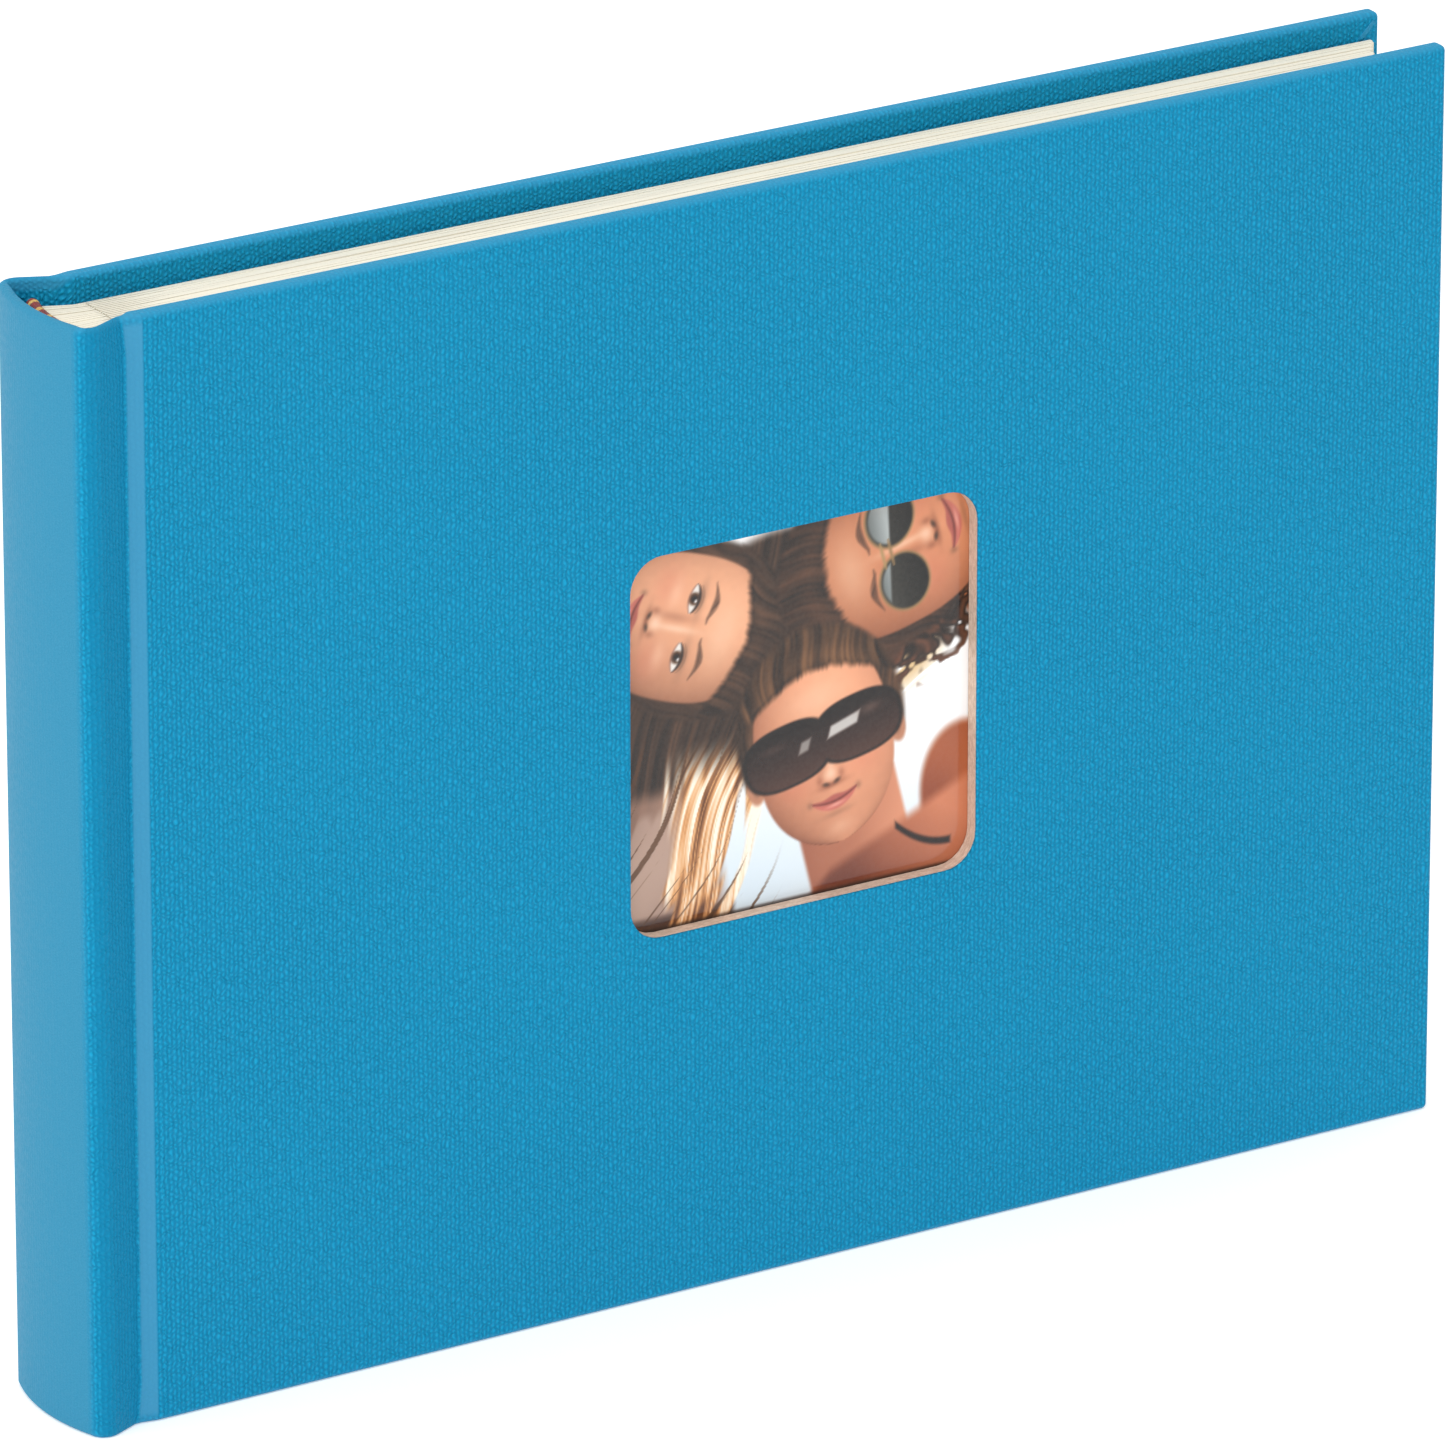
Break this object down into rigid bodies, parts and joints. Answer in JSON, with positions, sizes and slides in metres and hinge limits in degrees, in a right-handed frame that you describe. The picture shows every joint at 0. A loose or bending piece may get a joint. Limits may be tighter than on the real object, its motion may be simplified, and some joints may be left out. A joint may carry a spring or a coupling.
{
  "type": "photo album",
  "caption": "Landscape case-bound photo album with a rounded spine, grooved joints, a picture window in the front cover and leaves that fan out as it opens.",
  "frame": {"origin": "under the middle of the closed album, on the surface that its tail edges stand on", "axes": "+X from the spine to the fore-edge, -Y out of the front cover, +Z from tail to head"},
  "size_m": [0.22, 0.0236, 0.16],
  "materials": {
    "covering_paper": "embossed weave, satin",
    "greyboard": "raw, die-cut edge",
    "card": "raw",
    "page_card": "uncoated cream card",
    "kraft_lining": "kraft",
    "mull": "open weave",
    "binding_glue": "dried dispersion glue",
    "headband": "red and gold thread",
    "cover_print": "glossy laminated print"
  },
  "bodies": {
    "binding": {"spine_covering": "covering_paper", "spine_card": "card", "spine_lining": "kraft_lining", "spine_mull": "mull", "spine_glue": "binding_glue", "bound_margins": "page_card", "headband": "headband", "tailband": "headband"},
    "front_joint_strip": {"front_joint": "covering_paper"},
    "front_cover": {"front_covering": "covering_paper", "front_board": "greyboard", "front_pastedown": "page_card", "cover_print": "cover_print"},
    "back_joint_strip": {"back_joint": "covering_paper"},
    "back_cover": {"back_covering": "covering_paper", "back_board": "greyboard", "back_pastedown": "page_card"},
    "front_flyleaf_body": {"front_flyleaf": "page_card"},
    "leaf_01_body": {"leaf_01": "page_card"},
    "leaf_02_body": {"leaf_02": "page_card"},
    "leaf_03_body": {"leaf_03": "page_card"},
    "leaf_04_body": {"leaf_04": "page_card"},
    "leaf_05_body": {"leaf_05": "page_card"},
    "leaf_06_body": {"leaf_06": "page_card"},
    "leaf_07_body": {"leaf_07": "page_card"},
    "leaf_08_body": {"leaf_08": "page_card"},
    "leaf_09_body": {"leaf_09": "page_card"},
    "leaf_10_body": {"leaf_10": "page_card"},
    "leaf_11_body": {"leaf_11": "page_card"},
    "leaf_12_body": {"leaf_12": "page_card"},
    "leaf_13_body": {"leaf_13": "page_card"},
    "leaf_14_body": {"leaf_14": "page_card"},
    "leaf_15_body": {"leaf_15": "page_card"},
    "leaf_16_body": {"leaf_16": "page_card"},
    "leaf_17_body": {"leaf_17": "page_card"},
    "leaf_18_body": {"leaf_18": "page_card"},
    "leaf_19_body": {"leaf_19": "page_card"},
    "leaf_20_body": {"leaf_20": "page_card"},
    "back_flyleaf_body": {"back_flyleaf": "page_card"}
  },
  "joints": [
    {"name": "front_joint_fold", "type": "hinge", "parent": "binding", "child": "front_joint_strip", "pos_m": [-0.10472, -0.01154, 0.08], "axis": [0, 0, -1], "range_deg": [0, 90]},
    {"name": "front_cover_hinge", "type": "hinge", "parent": "front_joint_strip", "child": "front_cover", "pos_m": [-0.1001, -0.01, 0.08], "axis": [0, 0, -1], "range_deg": [0, 90]},
    {"name": "back_joint_fold", "type": "hinge", "parent": "binding", "child": "back_joint_strip", "pos_m": [-0.10472, 0.01154, 0.08], "axis": [0, 0, 1], "range_deg": [0, 90]},
    {"name": "back_cover_hinge", "type": "hinge", "parent": "back_joint_strip", "child": "back_cover", "pos_m": [-0.1001, 0.01, 0.08], "axis": [0, 0, 1], "range_deg": [0, 90]},
    {"name": "front_flyleaf_crease", "type": "hinge", "parent": "binding", "child": "front_flyleaf_body", "pos_m": [-0.09976, -0.00625, 0.08], "axis": [0, 0, -1], "range_deg": [0, 97.5]},
    {"name": "leaf_01_crease", "type": "hinge", "parent": "binding", "child": "leaf_01_body", "pos_m": [-0.0993, -0.00565, 0.08], "axis": [0, 0, -1], "range_deg": [0, 93.12]},
    {"name": "leaf_02_crease", "type": "hinge", "parent": "binding", "child": "leaf_02_body", "pos_m": [-0.09889, -0.00506, 0.08], "axis": [0, 0, -1], "range_deg": [0, 88.74]},
    {"name": "leaf_03_crease", "type": "hinge", "parent": "binding", "child": "leaf_03_body", "pos_m": [-0.09852, -0.00446, 0.08], "axis": [0, 0, -1], "range_deg": [0, 84.36]},
    {"name": "leaf_04_crease", "type": "hinge", "parent": "binding", "child": "leaf_04_body", "pos_m": [-0.09819, -0.00387, 0.08], "axis": [0, 0, -1], "range_deg": [0, 79.98]},
    {"name": "leaf_05_crease", "type": "hinge", "parent": "binding", "child": "leaf_05_body", "pos_m": [-0.09791, -0.00327, 0.08], "axis": [0, 0, -1], "range_deg": [0, 75.59]},
    {"name": "leaf_06_crease", "type": "hinge", "parent": "binding", "child": "leaf_06_body", "pos_m": [-0.09766, -0.00268, 0.08], "axis": [0, 0, -1], "range_deg": [0, 71.21]},
    {"name": "leaf_07_crease", "type": "hinge", "parent": "binding", "child": "leaf_07_body", "pos_m": [-0.09745, -0.00208, 0.08], "axis": [0, 0, -1], "range_deg": [0, 66.83]},
    {"name": "leaf_08_crease", "type": "hinge", "parent": "binding", "child": "leaf_08_body", "pos_m": [-0.09728, -0.00149, 0.08], "axis": [0, 0, -1], "range_deg": [0, 62.45]},
    {"name": "leaf_09_crease", "type": "hinge", "parent": "binding", "child": "leaf_09_body", "pos_m": [-0.09715, -0.00089, 0.08], "axis": [0, 0, -1], "range_deg": [0, 58.07]},
    {"name": "leaf_10_crease", "type": "hinge", "parent": "binding", "child": "leaf_10_body", "pos_m": [-0.09706, -0.0003, 0.08], "axis": [0, 0, -1], "range_deg": [0, 53.69]},
    {"name": "leaf_11_crease", "type": "hinge", "parent": "binding", "child": "leaf_11_body", "pos_m": [-0.09701, 0.0003, 0.08], "axis": [0, 0, -1], "range_deg": [0, 49.31]},
    {"name": "leaf_12_crease", "type": "hinge", "parent": "binding", "child": "leaf_12_body", "pos_m": [-0.097, 0.00089, 0.08], "axis": [0, 0, -1], "range_deg": [0, 44.93]},
    {"name": "leaf_13_crease", "type": "hinge", "parent": "binding", "child": "leaf_13_body", "pos_m": [-0.097, 0.00149, 0.08], "axis": [0, 0, -1], "range_deg": [0, 40.55]},
    {"name": "leaf_14_crease", "type": "hinge", "parent": "binding", "child": "leaf_14_body", "pos_m": [-0.097, 0.00208, 0.08], "axis": [0, 0, -1], "range_deg": [0, 36.17]},
    {"name": "leaf_15_crease", "type": "hinge", "parent": "binding", "child": "leaf_15_body", "pos_m": [-0.097, 0.00268, 0.08], "axis": [0, 0, -1], "range_deg": [0, 31.79]},
    {"name": "leaf_16_crease", "type": "hinge", "parent": "binding", "child": "leaf_16_body", "pos_m": [-0.097, 0.00327, 0.08], "axis": [0, 0, -1], "range_deg": [0, 27.41]},
    {"name": "leaf_17_crease", "type": "hinge", "parent": "binding", "child": "leaf_17_body", "pos_m": [-0.097, 0.00387, 0.08], "axis": [0, 0, -1], "range_deg": [0, 23.02]},
    {"name": "leaf_18_crease", "type": "hinge", "parent": "binding", "child": "leaf_18_body", "pos_m": [-0.097, 0.00446, 0.08], "axis": [0, 0, -1], "range_deg": [0, 18.64]},
    {"name": "leaf_19_crease", "type": "hinge", "parent": "binding", "child": "leaf_19_body", "pos_m": [-0.097, 0.00506, 0.08], "axis": [0, 0, -1], "range_deg": [0, 14.26]},
    {"name": "leaf_20_crease", "type": "hinge", "parent": "binding", "child": "leaf_20_body", "pos_m": [-0.097, 0.00565, 0.08], "axis": [0, 0, -1], "range_deg": [0, 9.88]},
    {"name": "back_flyleaf_crease", "type": "hinge", "parent": "binding", "child": "back_flyleaf_body", "pos_m": [-0.097, 0.00625, 0.08], "axis": [0, 0, -1], "range_deg": [0, 5.5]}
  ],
  "couplings": [
    {"joint": "front_joint_fold", "follows": "front_cover_hinge", "ratio": 1},
    {"joint": "back_cover_hinge", "follows": "back_joint_fold", "ratio": 1},
    {"joint": "front_flyleaf_crease", "follows": "front_cover_hinge", "ratio": 1.0778},
    {"joint": "leaf_01_crease", "follows": "front_cover_hinge", "ratio": 1.0291},
    {"joint": "leaf_02_crease", "follows": "front_cover_hinge", "ratio": 0.98042},
    {"joint": "leaf_03_crease", "follows": "front_cover_hinge", "ratio": 0.93175},
    {"joint": "leaf_04_crease", "follows": "front_cover_hinge", "ratio": 0.88307},
    {"joint": "leaf_05_crease", "follows": "front_cover_hinge", "ratio": 0.83439},
    {"joint": "leaf_06_crease", "follows": "front_cover_hinge", "ratio": 0.78571},
    {"joint": "leaf_07_crease", "follows": "front_cover_hinge", "ratio": 0.73704},
    {"joint": "leaf_08_crease", "follows": "front_cover_hinge", "ratio": 0.68836},
    {"joint": "leaf_09_crease", "follows": "front_cover_hinge", "ratio": 0.63968},
    {"joint": "leaf_10_crease", "follows": "front_cover_hinge", "ratio": 0.59101},
    {"joint": "leaf_11_crease", "follows": "front_cover_hinge", "ratio": 0.54233},
    {"joint": "leaf_12_crease", "follows": "front_cover_hinge", "ratio": 0.49365},
    {"joint": "leaf_13_crease", "follows": "front_cover_hinge", "ratio": 0.44497},
    {"joint": "leaf_14_crease", "follows": "front_cover_hinge", "ratio": 0.3963},
    {"joint": "leaf_15_crease", "follows": "front_cover_hinge", "ratio": 0.34762},
    {"joint": "leaf_16_crease", "follows": "front_cover_hinge", "ratio": 0.29894},
    {"joint": "leaf_17_crease", "follows": "front_cover_hinge", "ratio": 0.25027},
    {"joint": "leaf_18_crease", "follows": "front_cover_hinge", "ratio": 0.20159},
    {"joint": "leaf_19_crease", "follows": "front_cover_hinge", "ratio": 0.15291},
    {"joint": "leaf_20_crease", "follows": "front_cover_hinge", "ratio": 0.10423},
    {"joint": "back_flyleaf_crease", "follows": "front_cover_hinge", "ratio": 0.055556}
  ]
}
